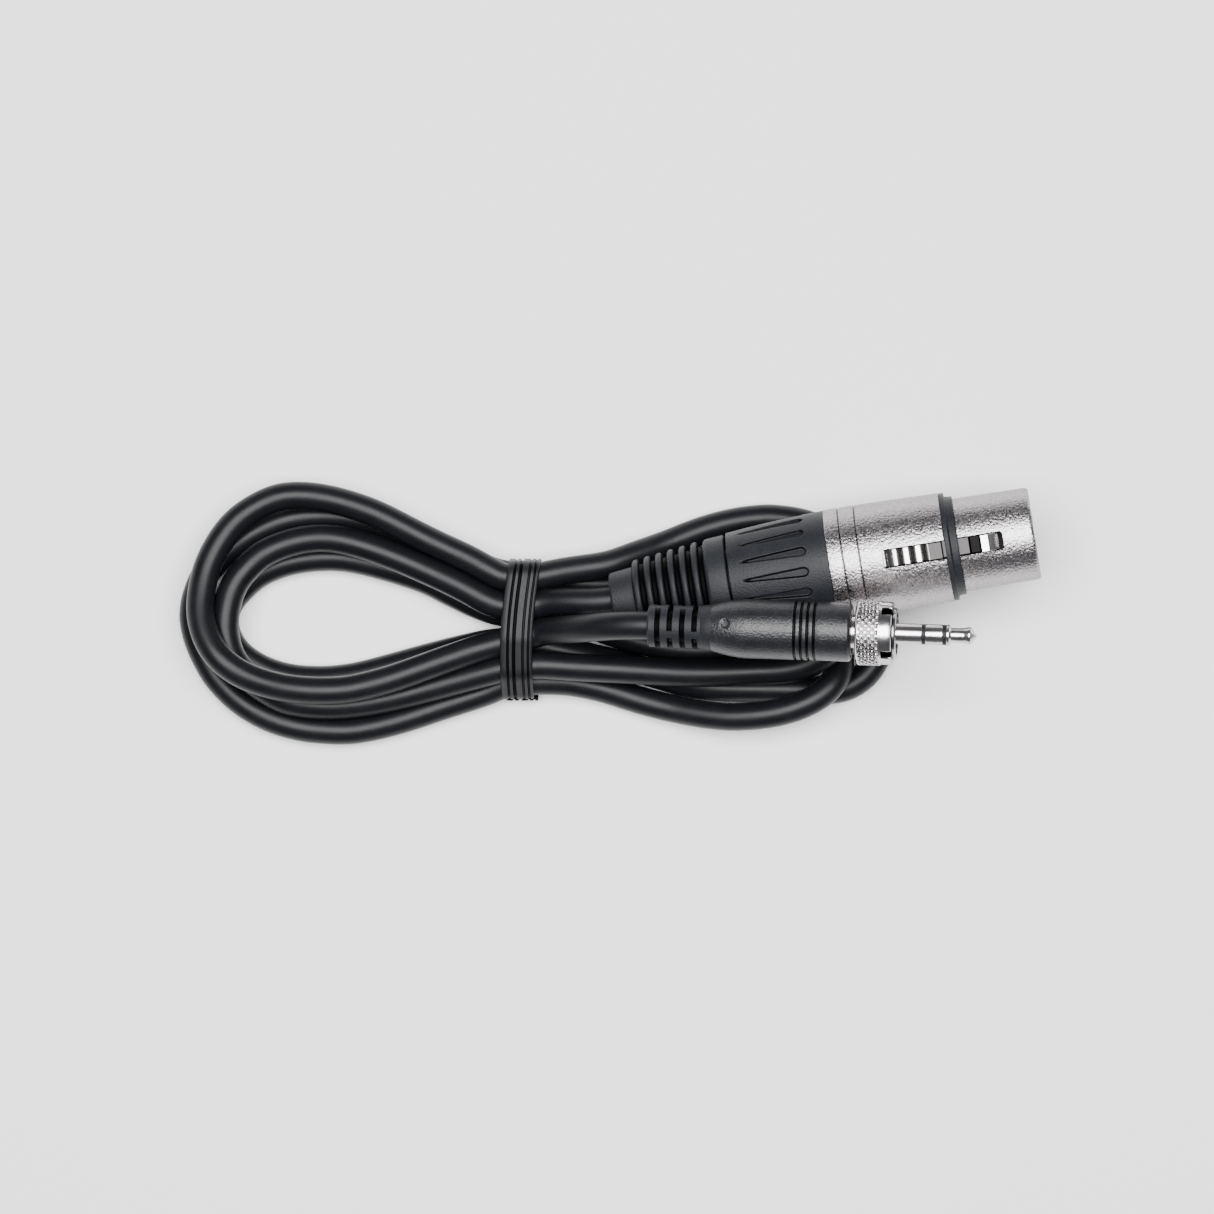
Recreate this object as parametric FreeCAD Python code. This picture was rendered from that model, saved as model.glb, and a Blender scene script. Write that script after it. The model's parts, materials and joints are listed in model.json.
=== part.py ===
import FreeCAD, Part
import math
import os

V = FreeCAD.Vector

# ---------------------------------------------------------------------------
# A short microphone lead, wound into a hank and tied: a female XLR cable
# connector on one end and a locking 3.5 mm plug on the other.
# Millimetres, +Z up. The origin is on the table below the middle of the hank.
# ---------------------------------------------------------------------------

# The cable, and how it lies at its two ends
CABLE_R = 2.4
BEND_SHARE = 0.45
WIRE_R = 0.55
TAIL_INSIDE = 2.8
TAIL_CORNER = -2.2

# Where the tie holds the bundle, and the bundle's section there (across Y, up Z)
TIE_X = -15.0
TIE_WIDTH = 5.4
TIE_THICKNESS = 0.8
WAIST_BACK = -22.0
WAIST_FRONT = -10.0
BUNDLE = [(-14.3, 0.9), (8.7, 0.9), (8.7, 6.8), (6.6, 10.4), (-5.2, 10.4), (-11.3, 8.9), (-14.3, 4.6)]

# Heights of the hank's two lobes
LEFT_HEIGHT = 9.2
RIGHT_HEIGHT = 4.8

# How each connector lies: start of its axis, heading, rise and roll in degrees
XLR_START = V(0.7, 2.15, 11.55)
XLR_YAW = 9.0
XLR_RISE = 5.0
XLR_ROLL = 2.5
PLUG_START = V(6.8, -2.2, 21.65)
PLUG_YAW = -1.8
PLUG_RISE = 7.5
PLUG_ROLL = 0.0

# XLR connector, distances along its axis from the boot's mouth
BOOT_LENGTH = 20.5
RIB_START, RIB_PITCH, RIB_WIDTH, RIB_COUNT = 4.2, 2.07, 1.28, 6
BUSHING_START, BUSHING_END, SPIGOT_END = 20.9, 37.8, 43.6
SHELL_START, SHELL_END, NOSE_START, NOSE_END = 37.85, 57.6, 59.8, 72.7
SHELL_R, NOSE_R, NOSE_BORE_R = 9.5, 8.1, 7.1
INSERT_START, INSERT_END = 44.2, 72.2
CHANNEL_HALF, CHANNEL_FLOOR, CHANNEL_END = 1.7, 3.3, 68.0
FLUTE_COUNT = 16
CONTACT_R, PIN_BORE_R = 1.7, 1.215
CONTACTS = {"1": (3.72, 1.73), "2": (-3.72, 1.73), "3": (0.0, -4.1)}
LATCH_PIVOT, LATCH_PIVOT_Z, LATCH_PIN_R = 45.3, 5.9, 0.5
WINDOW_START, WINDOW_END, WINDOW_HALF = 46.9, 67.4, 1.6

# Locking plug, distances along its axis from the strain relief's mouth
RELIEF_END, BARREL_START, BARREL_END = 9.1, 10.8, 34.4
BARREL_R = 5.0
NUT_START, NUT_KNURL_END, NUT_RIM_END, NUT_END = 35.2, 39.5, 41.3, 42.5
NUT_R, NUT_BORE_R, NUT_THREAD_R = 5.5, 2.75, 3.6
NECK_R = 2.7
SHAFT_R = 1.75
SLEEVE_END, RING_START, RING_END, TIP_START, TIP_END = 46.2, 46.85, 49.7, 50.35, 55.4


# ---------------------------------------------------------------------------
# Small helpers
# ---------------------------------------------------------------------------
def revolved(outline):
    """A solid turned about the X axis from a closed outline of (x, radius) points."""
    points = [V(x, 0, r) for x, r in outline]
    face = Part.Face(Part.makePolygon(points + points[:1]))
    return face.revolve(V(0, 0, 0), V(1, 0, 0), 360)


def revolved_edges(edges):
    """A solid turned about the X axis from edges that close an outline in XZ."""
    return Part.Face(Part.Wire(edges)).revolve(V(0, 0, 0), V(1, 0, 0), 360)


def rod(start, end, radius, y=0.0, z=0.0):
    return Part.makeCylinder(radius, end - start, V(start, y, z), V(1, 0, 0))


def pipe(start, end, outer, inner, y=0.0, z=0.0):
    return rod(start, end, outer, y, z).cut(rod(start - 1, end + 1, inner, y, z))


def block(x, y, z):
    """A box from its three (low, high) pairs."""
    return Part.makeBox(x[1] - x[0], y[1] - y[0], z[1] - z[0], V(x[0], y[0], z[0]))


def turned(shape, angle):
    """A copy of the shape rolled about the X axis."""
    copy = shape.copy()
    copy.rotate(V(0, 0, 0), V(1, 0, 0), angle)
    return copy


def placement(start, yaw, rise, roll):
    """Where a connector built along +X lies: rolled, nose lifted, swung, moved."""
    spin = FreeCAD.Rotation(V(0, 0, 1), yaw)
    spin = spin.multiply(FreeCAD.Rotation(V(0, 1, 0), -rise))
    spin = spin.multiply(FreeCAD.Rotation(V(1, 0, 0), roll))
    return FreeCAD.Placement(start, spin)


def cable_path(points):
    """Straight runs joined by the largest tangent arcs that the runs allow."""
    edges = []
    radii = []
    last = points[0]
    for before, corner, after in zip(points, points[1:], points[2:]):
        back = (before - corner).normalize()
        ahead = (after - corner).normalize()
        half = (math.pi - back.getAngle(ahead)) / 2
        reach = BEND_SHARE * min((before - corner).Length, (after - corner).Length)
        radius = reach / math.tan(half)
        middle = corner + (back + ahead).normalize() * (radius / math.cos(half) - radius)
        start = corner + back * reach
        end = corner + ahead * reach
        edges.append(Part.LineSegment(last, start).toShape())
        edges.append(Part.Arc(start, middle, end).toShape())
        radii.append(radius)
        last = end
    edges.append(Part.LineSegment(last, points[-1]).toShape())
    return Part.Wire(edges), radii


def cable_tube(points, radius):
    """A round tube along the route, and the route it follows with its radii."""
    path, radii = cable_path(points)
    heading = (points[1] - points[0]).normalize()
    mouth = Part.Wire(Part.Circle(points[0], heading, radius).toShape())
    return path.makePipeShell([mouth], True, False), path, radii


# ---------------------------------------------------------------------------
# The XLR connector, built along +X from the boot's mouth, latch side up
# ---------------------------------------------------------------------------
def xlr_boot():
    """Rubber boot: a plain mouth, six ribs that grow towards the front, and a band."""
    outline = [(0, 4.3), (0.3, 4.6), (3.8, 5.0)]
    for i in range(RIB_COUNT):
        x = RIB_START + RIB_PITCH * i
        core = 5.1 + 0.22 * i
        crest = 6.1 + 0.27 * i
        outline += [(x, core), (x, crest), (x + RIB_WIDTH, crest + 0.15), (x + RIB_WIDTH, core + 0.15)]
    outline += [(16.7, 6.4), (16.7, 7.7), (BOOT_LENGTH, 8.0)]
    outline += [(BOOT_LENGTH, 5.6), (14.2, 5.6), (14.2, 2.5), (0, 2.5)]
    return revolved(outline)


def xlr_bushing():
    """Gland nut: a convex skirt with flutes, a neck inside the boot, a threaded spigot."""
    skirt = Part.Arc(V(BUSHING_START, 0, 8.2), V(29.5, 0, 9.0), V(BUSHING_END, 0, 9.4))
    corners = [(BUSHING_END, 9.4), (BUSHING_END, 8.0), (SPIGOT_END, 8.0), (SPIGOT_END, 7.5)]
    corners += [(BUSHING_END, 7.5), (22.0, 4.0), (22.0, 2.6), (14.3, 2.6), (14.3, 5.5)]
    corners += [(BUSHING_START, 5.5), (BUSHING_START, 8.2)]
    lines = [Part.LineSegment(V(a[0], 0, a[1]), V(b[0], 0, b[1])) for a, b in zip(corners, corners[1:])]
    body = revolved_edges([skirt.toShape()] + [line.toShape() for line in lines])
    flute_end = 33.4
    flute_half = 0.9
    tip = V(23.0, 0, 8.25)
    left = V(flute_end, flute_half, 8.25)
    right = V(flute_end, -flute_half, 8.25)
    round_end = Part.Arc(left, V(flute_end + flute_half, 0, 8.25), right)
    edges = [Part.LineSegment(tip, left), round_end, Part.LineSegment(right, tip)]
    flute = Part.Face(Part.Wire([e.toShape() for e in edges])).extrude(V(0, 0, 3))
    step = 360 / FLUTE_COUNT
    return body.cut([turned(flute, step * i) for i in range(FLUTE_COUNT)])


def xlr_chuck():
    """Collet that the gland nut closes on the cable: a slotted cone."""
    cone = revolved([(22.3, 2.45), (22.3, 3.9), (36.8, 7.0), (36.8, 5.2), (33.5, 2.45)])
    slots = [turned(block((21, 32), (-0.5, 0.5), (1, 9)), 90 * i) for i in range(4)]
    return cone.cut(slots)


def xlr_shell():
    """Die-cast housing: the barrel, the groove for the ring, and the nose in one piece."""
    outline = [(SHELL_START, 8.05), (SHELL_START, 9.35), (SHELL_START + 0.15, SHELL_R)]
    for x in (40.2, 43.0):
        outline += [(x, SHELL_R - 0.03), (x, SHELL_R - 0.15), (x + 0.25, SHELL_R - 0.15), (x + 0.25, SHELL_R - 0.03)]
    outline += [(SHELL_END, 9.3), (SHELL_END, 7.75), (NOSE_START, 7.75), (NOSE_START, NOSE_R)]
    outline += [(NOSE_END - 0.4, 8.0), (NOSE_END, 7.7), (NOSE_END, NOSE_BORE_R), (44.0, NOSE_BORE_R)]
    outline += [(44.0, 8.05)]
    body = revolved(outline)
    window = block((WINDOW_START, WINDOW_END), (-WINDOW_HALF, WINDOW_HALF), (5, 12))
    keyway = block((62.0, 74.0), (-1.3, 1.3), (-9, -6))
    return body.cut([window, keyway])


def xlr_ring():
    """Black ring that closes the gap between barrel and nose."""
    start = SHELL_END + 0.02
    end = NOSE_START - 0.02
    return revolved([(start, 7.78), (start, 9.2), (start + 0.8, 9.2), (start + 0.9, 8.5), (end, 8.4), (end, 7.78)])


def xlr_insert():
    """Contact carrier with three bores, a latch channel and the pin's hole, in three sectors, one per bore."""
    sector = Part.makeCylinder(7.05, INSERT_END - INSERT_START, V(INSERT_START, 0, 0), V(1, 0, 0), 120)
    cuts = [block((43, CHANNEL_END), (-CHANNEL_HALF, CHANNEL_HALF), (CHANNEL_FLOOR, 9))]
    cuts += [rod(INSERT_START - 1, INSERT_END + 1, CONTACT_R, y, z) for y, z in CONTACTS.values()]
    cuts.append(latch_pin())
    return Part.makeCompound([turned(sector, 120 * i).cut(cuts) for i in range(3)])


def xlr_contact(name):
    """Socket contact: a bore for a 2.4 mm pin in front and a solder cup behind."""
    y, z = CONTACTS[name]
    body = rod(46.5, 70.9, CONTACT_R, y, z).fuse(rod(42.6, 46.5, 1.3, y, z))
    slit = block((67.0, 71.5), (y - 0.15, y + 0.15), (z, z + 2))
    return body.cut([rod(56.0, 71.5, PIN_BORE_R, y, z), rod(42.0, 45.6, 0.8, y, z), slit])


def xlr_latch():
    """Lever with a grooved push button behind and the locking hook in front."""
    lever = block((44.4, 66.6), (-1.45, 1.45), (5.3, 6.5))
    button = block((47.3, 57.0), (-1.45, 1.45), (6.4, 9.1))
    slope = Part.makePolygon([V(47.2, -2, 9.2), V(48.6, -2, 9.2), V(47.2, -2, 8.2), V(47.2, -2, 9.2)])
    cuts = [Part.Face(slope).extrude(V(0, 4, 0))]
    cuts += [block((x, x + 0.85), (-2, 2), (8.2, 10)) for x in (49.5, 51.55, 53.6)]
    side = [V(61.7, -1.45, 6.4), V(61.7, -1.45, 7.4), V(63.4, -1.45, 7.4), V(63.6, -1.45, 8.9)]
    side += [V(64.9, -1.45, 8.9), V(66.6, -1.45, 7.3), V(66.6, -1.45, 6.4)]
    hook = Part.Face(Part.makePolygon(side + side[:1])).extrude(V(0, 2.9, 0))
    eye = Part.makeCylinder(LATCH_PIN_R + 0.05, 4, V(LATCH_PIVOT, -2, LATCH_PIVOT_Z), V(0, 1, 0))
    return lever.fuse([button.cut(cuts), hook]).cut(eye).removeSplitter()


def latch_pin():
    return Part.makeCylinder(LATCH_PIN_R, 5.2, V(LATCH_PIVOT, -2.6, LATCH_PIVOT_Z), V(0, 1, 0))


def latch_spring():
    """Leaf spring that lies in the channel and lifts the lever."""
    low = [V(48.5, -1.2, 3.32), V(51.5, -1.2, 3.32), V(58.0, -1.2, 5.02), V(60.0, -1.2, 5.02)]
    high = [V(60.0, -1.2, 5.27), V(57.95, -1.2, 5.27), V(51.45, -1.2, 3.57), V(48.5, -1.2, 3.57)]
    return Part.Face(Part.makePolygon(low + high + low[:1])).extrude(V(0, 2.4, 0))


def xlr_wire(name):
    """Insulated core from the cable's end into the contact's solder cup."""
    y, z = CONTACTS[name]
    near = 0.27
    points = [V(34.6, y * near, z * near), V(37.4, y * near, z * near), V(41.2, y, z), V(45.2, y, z)]
    return cable_tube(points, WIRE_R)[0]


# ---------------------------------------------------------------------------
# The locking plug, built along +X from the strain relief's mouth
# ---------------------------------------------------------------------------
def plug_strain_relief():
    """Flexible relief: ring slots in turn, each bridged at two opposite places."""
    outline = [(0, 3.3), (0.3, 3.6), (RELIEF_END, 3.6), (RELIEF_END + 0.2, 3.75), (BARREL_START, 3.9)]
    outline += [(BARREL_START, 3.4), (12.8, 3.4), (12.8, 2.45), (0, 2.45)]
    body = revolved(outline)
    cuts = []
    for i in range(4):
        x = 1.3 + 2.1 * i
        ring = pipe(x, x + 0.95, 5, 2.95)
        bridge = block((x - 0.1, x + 1.05), (-0.55, 0.55), (-6, 6))
        cuts.append(ring.cut(turned(bridge, 24 + 90 * (i % 2 == 0))))
    return body.cut(cuts)


def plug_barrel():
    """Handle: a bottle shoulder, four fine grooves, and a small dimple on top."""
    shoulder = Part.Arc(V(BARREL_START, 0, 3.95), V(13.2, 0, 4.45), V(16.8, 0, 4.9))
    corners = [(16.8, 4.9)]
    for i in range(4):
        x = 24.8 + 1.1 * i
        corners += [(x, 4.98), (x, 4.7), (x + 0.45, 4.7), (x + 0.45, 4.98)]
    corners += [(BARREL_END - 0.4, BARREL_R), (BARREL_END, 4.6), (BARREL_END, 3.9), (13.1, 3.9)]
    corners += [(13.1, 3.45), (BARREL_START, 3.45), (BARREL_START, 3.95)]
    lines = [Part.LineSegment(V(a[0], 0, a[1]), V(b[0], 0, b[1])) for a, b in zip(corners, corners[1:])]
    body = revolved_edges([shoulder.toShape()] + [line.toShape() for line in lines])
    return body.cut(Part.makeSphere(1.0, V(13.6, 0.8, 5.15)))


def plug_sleeve():
    """Body and sleeve contact: the barrel's root, the nut's neck and collar, the shaft."""
    outline = [(27.0, 1.25), (27.0, 3.85), (34.4, 3.85), (34.4, NECK_R), (37.2, NECK_R), (37.2, 3.3)]
    outline += [(38.0, 3.3), (38.2, SHAFT_R), (SLEEVE_END, SHAFT_R), (SLEEVE_END, 1.25)]
    return revolved(outline)


def plug_shield_clamp():
    """Crimp ring round the cable with a strip forward to the body."""
    ring = pipe(14.0, 17.0, 3.1, 2.45)
    strip = block((14.0, 26.98), (-1.0, 1.0), (-3.6, -2.9))
    return ring.fuse(strip.cut(rod(13, 28, 2.9))).removeSplitter()


def plug_insulator_rear():
    outline = [(26.0, 0.95), (26.0, 1.25), (SLEEVE_END, 1.25), (SLEEVE_END, SHAFT_R)]
    outline += [(RING_START, SHAFT_R), (RING_START, 0.95)]
    return revolved(outline)


def plug_ring_contact():
    outline = [(24.6, 0.7), (24.6, 0.95), (RING_START, 0.95), (RING_START, SHAFT_R)]
    outline += [(RING_END, SHAFT_R), (RING_END, 0.7)]
    return revolved(outline)


def plug_insulator_front():
    outline = [(23.6, 0.45), (23.6, 0.7), (RING_END, 0.7), (RING_END, SHAFT_R)]
    outline += [(TIP_START, SHAFT_R), (TIP_START, 0.45)]
    return revolved(outline)


def plug_tip_contact():
    """Tip with its neck, bulb and cone, and the rod back to its terminal."""
    outline = [(22.0, 0), (22.0, 0.45), (TIP_START, 0.45), (TIP_START, SHAFT_R), (50.8, SHAFT_R), (51.4, 1.15)]
    outline += [(53.2, 1.3), (54.2, 1.5), (54.6, 1.35), (TIP_END - 0.1, 0.3), (TIP_END, 0)]
    return revolved(outline)


def plug_terminal(x, bore, outer):
    """Solder lug: a washer on the contact's rear end with a tab."""
    washer = pipe(x, x + 0.4, outer, bore)
    tab = block((x - 1.6, x + 0.4), (-0.7, 0.7), (bore + 0.4, bore + 0.8))
    return washer.fuse(tab).removeSplitter()


def plug_wire(side, end_x):
    """Core from the cable's end to a point just short of its terminal's tab."""
    points = [V(18.4, 0, 0.9 * side), V(20.4, 0, 2.45 * side), V(end_x, 0, 2.45 * side)]
    return cable_tube(points, WIRE_R)[0]


def plug_lock_nut():
    """Free-spinning nut: a knurled skirt, a slotted rim and a front lip."""
    outline = [(NUT_START, NUT_BORE_R), (NUT_START, 5.1), (NUT_START + 0.4, NUT_R)]
    outline += [(NUT_KNURL_END - 0.3, NUT_R), (NUT_KNURL_END, 5.3), (NUT_RIM_END, 5.3)]
    outline += [(NUT_RIM_END + 0.1, 4.2), (NUT_END, 4.1), (NUT_END, NUT_THREAD_R)]
    outline += [(37.0, NUT_THREAD_R), (37.0, NUT_BORE_R)]
    slots = [turned(block((NUT_KNURL_END, NUT_RIM_END + 0.2), (-0.85, 0.85), (4.5, 6)), 45 + 90 * i) for i in range(4)]
    return revolved(outline).cut(slots)


# ---------------------------------------------------------------------------
# The cable: the hank, its tie and the two ends
# ---------------------------------------------------------------------------
def bundle_section(x, grow=0.0):
    wire = Part.makePolygon([V(x, y, z) for y, z in BUNDLE + BUNDLE[:1]])
    return wire.makeOffset2D(grow) if grow else wire


def lobe(outer, inner, height):
    """A flat ring: arcs through every second point of two closed outlines."""
    faces = []
    for outline in (outer, inner):
        closed = [V(x, y, 0) for x, y in outline + outline[:1]]
        arcs = [Part.Arc(a, b, c).toShape() for a, b, c in zip(closed[::2], closed[1::2], closed[2::2])]
        faces.append(Part.Face(Part.Wire(arcs)))
    return faces[0].cut(faces[1]).extrude(V(0, 0, height))


def cable_hank():
    """The outer shape of the wound turns: a tall lobe, the tied waist, a flat lobe."""
    left_outer = [(-19, 8.6), (-36, 16.8), (-53, 22.4), (-69.6, 13.6), (-73.2, 0), (-66.5, -15.0)]
    left_outer += [(-47, -22.5), (-30.5, -19.0), (-19, -14.2), (-18.5, -3)]
    left_inner = [(-22, -2.2), (-35, 5.2), (-48, 7.3), (-59.6, 4.2), (-63, -0.6), (-56.5, -7.6)]
    left_inner += [(-44, -9.0), (-29, -6.0)]
    right_outer = [(-11, 8.2), (3, 11.3), (10, 13.8), (20, 17.5), (32, 18.3), (43, 13.2), (49.0, 0)]
    right_outer += [(41.5, -14.5), (21, -20.3), (5, -17.2), (-11, -13.6), (-11.5, -2)]
    right_inner = [(5, -1.5), (12, 2.0), (19, 3.6), (26, 2.5), (30.5, -2.0), (27, -7.6)]
    right_inner += [(19, -9.0), (11, -7.0)]
    waist = Part.Face(bundle_section(WAIST_BACK)).extrude(V(WAIST_FRONT - WAIST_BACK, 0, 0))
    left = lobe(left_outer, left_inner, LEFT_HEIGHT)
    right = lobe(right_outer, right_inner, RIGHT_HEIGHT)
    return waist.fuse([left, right]).removeSplitter()


def cable_tie():
    """Flat strap round the bundle."""
    start = TIE_X - TIE_WIDTH / 2
    outer = Part.Face(bundle_section(start, TIE_THICKNESS)).extrude(V(TIE_WIDTH, 0, 0))
    inner = Part.Face(bundle_section(start - 1)).extrude(V(TIE_WIDTH + 2, 0, 0))
    return outer.cut(inner)


def on_axis(place, x):
    """The point of a placed connector's axis at x along it."""
    return place.multVec(V(x, 0, 0))


xlr_place = placement(XLR_START, XLR_YAW, XLR_RISE, XLR_ROLL)
plug_place = placement(PLUG_START, PLUG_YAW, PLUG_RISE, PLUG_ROLL)

XLR_TAIL = [V(WAIST_FRONT - 0.5, 2.2, 7.7), V(-6.4, 2.0, 9.8)]
XLR_TAIL += [on_axis(xlr_place, TAIL_CORNER), on_axis(xlr_place, TAIL_INSIDE)]
PLUG_TAIL = [V(WAIST_FRONT - 0.5, -2.8, 7.9), V(-7.2, -2.9, 11.9), V(-4.1, -2.7, 16.1), V(-0.1, -2.3, 19.4)]
PLUG_TAIL += [on_axis(plug_place, TAIL_CORNER), on_axis(plug_place, TAIL_INSIDE)]


# ---------------------------------------------------------------------------
# Every piece in its own node
# ---------------------------------------------------------------------------
xlr_pieces = {
    "xlr_boot": xlr_boot(),
    "xlr_bushing": xlr_bushing(),
    "xlr_chuck": xlr_chuck(),
    "xlr_shell": xlr_shell(),
    "xlr_ring": xlr_ring(),
    "xlr_insert": xlr_insert(),
    "xlr_latch": xlr_latch(),
    "xlr_latch_pin": latch_pin(),
    "xlr_latch_spring": latch_spring(),
}
xlr_pieces["cable_end_in_xlr"] = rod(TAIL_INSIDE, 34.3, CABLE_R)
for number in CONTACTS:
    xlr_pieces["xlr_contact_" + number] = xlr_contact(number)
    xlr_pieces["xlr_wire_" + number] = xlr_wire(number)

plug_pieces = {
    "plug_strain_relief": plug_strain_relief(),
    "plug_barrel": plug_barrel(),
    "plug_sleeve": plug_sleeve(),
    "plug_shield_clamp": turned(plug_shield_clamp(), 90),
    "plug_insulator_rear": plug_insulator_rear(),
    "plug_ring_contact": plug_ring_contact(),
    "plug_insulator_front": plug_insulator_front(),
    "plug_tip_contact": plug_tip_contact(),
    "plug_terminal_ring": plug_terminal(24.9, 0.95, 2.4),
    "plug_terminal_tip": turned(plug_terminal(22.4, 0.45, 1.35), 180),
    "plug_lock_nut": plug_lock_nut(),
}

plug_pieces["cable_end_in_plug"] = rod(TAIL_INSIDE, 18.0, CABLE_R)
for number, side, end_x in (("1", 1, 24.6), ("2", -1, 22.2)):
    plug_pieces["plug_wire_" + number] = plug_wire(side, end_x)

cable_pieces = {"cable_hank": cable_hank(), "cable_tie": cable_tie()}
for name, route in (("cable_xlr_tail", XLR_TAIL), ("cable_plug_tail", PLUG_TAIL)):
    solid, path, radii = cable_tube(route, CABLE_R)
    section = math.pi * CABLE_R ** 2 * path.Length
    print(name, "radii", [round(r, 1) for r in radii], "volume share", round(solid.Volume / section, 3))
    cable_pieces[name] = solid

pieces = dict(cable_pieces)
for group, place in ((xlr_pieces, xlr_place), (plug_pieces, plug_place)):
    for name, shape in group.items():
        shape.Placement = place.multiply(shape.Placement)
        pieces[name] = shape

os.makedirs("parts", exist_ok=True)
for name, shape in pieces.items():
    print(name, shape.ShapeType, len(shape.Solids), shape.isValid(), round(shape.Volume, 1))
    shape.exportStep("parts/" + name + ".step")
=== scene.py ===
import json
import math

import bmesh
import bpy
import numpy as np
from mathutils import Matrix, Vector


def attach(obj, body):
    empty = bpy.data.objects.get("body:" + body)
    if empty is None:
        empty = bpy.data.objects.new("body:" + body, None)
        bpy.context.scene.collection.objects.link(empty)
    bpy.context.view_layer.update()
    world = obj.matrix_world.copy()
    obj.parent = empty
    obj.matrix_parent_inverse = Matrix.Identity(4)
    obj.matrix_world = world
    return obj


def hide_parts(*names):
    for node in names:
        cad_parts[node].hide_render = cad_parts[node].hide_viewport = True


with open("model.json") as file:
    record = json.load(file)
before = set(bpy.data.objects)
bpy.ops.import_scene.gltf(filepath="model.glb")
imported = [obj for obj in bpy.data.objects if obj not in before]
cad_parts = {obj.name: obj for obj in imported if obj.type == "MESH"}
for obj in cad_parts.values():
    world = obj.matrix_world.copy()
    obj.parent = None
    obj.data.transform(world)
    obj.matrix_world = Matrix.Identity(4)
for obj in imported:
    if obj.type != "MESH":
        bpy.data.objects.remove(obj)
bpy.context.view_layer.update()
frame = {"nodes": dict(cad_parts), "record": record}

MM = 0.001

# ---------------------------------------------------------------------------
# Sizes, in millimetres like the CAD model's own, turned into metres at the end
# ---------------------------------------------------------------------------
CABLE_R = 2.4
GAP = 0.03
XLR_LENGTH = 73
TIE_X, TIE_HALF = -15.0, 2.7

XLR_START, XLR_YAW, XLR_RISE, XLR_ROLL = (0.7, 2.15, 11.55), 9.0, 5.0, 2.5
PLUG_START, PLUG_YAW, PLUG_RISE, PLUG_ROLL = (6.8, -2.2, 21.65), -1.8, 7.5, 0.0


def placement(start, yaw, rise, roll):
    """The matrix, in millimetres, of a connector built along +X and laid in its place."""
    spin = Matrix.Rotation(math.radians(yaw), 4, "Z")
    spin = spin @ Matrix.Rotation(math.radians(-rise), 4, "Y")
    spin = spin @ Matrix.Rotation(math.radians(roll), 4, "X")
    return Matrix.Translation(start) @ spin


XLR = placement(XLR_START, XLR_YAW, XLR_RISE, XLR_ROLL)
PLUG = placement(PLUG_START, PLUG_YAW, PLUG_RISE, PLUG_ROLL)


def on_axis(place, x):
    return tuple(place @ Vector((x, 0, 0)))


# ---------------------------------------------------------------------------
# The cable's route
# ---------------------------------------------------------------------------
# The two free ends, from the connector back to the tie
TAIL_INSIDE, TAIL_CORNER = 2.8, -2.2
XLR_TAIL = [(-10.5, 1.9, 8.7), (-6.4, 1.9, 10.2), on_axis(XLR, TAIL_CORNER), on_axis(XLR, TAIL_INSIDE)]
PLUG_TAIL = [(-10.5, -3.1, 9.6), (-7.3, -2.9, 12.9), (-4.0, -2.7, 16.5), (-0.1, -2.3, 19.5),
             on_axis(PLUG, TAIL_CORNER), on_axis(PLUG, TAIL_INSIDE)]

# Where each strand goes through the tie: across and up on its left face, then on its right face
SLOTS = {
    "a_top": ((5.8, 8.0), (6.1, 7.9)), "c_top": ((0.9, 7.9), (1.3, 8.3)),
    "a_low": ((-5.0, 8.0), (-3.6, 8.5)), "d_low": ((-9.5, 7.1), (-9.0, 7.2)),
    "b_top": ((6.5, 3.3), (6.2, 3.3)), "d_top": ((-0.3, 3.2), (0.6, 3.2)),
    "c_low": ((-5.0, 3.3), (-5.4, 3.3)), "b_low": ((-12.2, 3.3), (-11.8, 3.3)),
}

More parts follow.
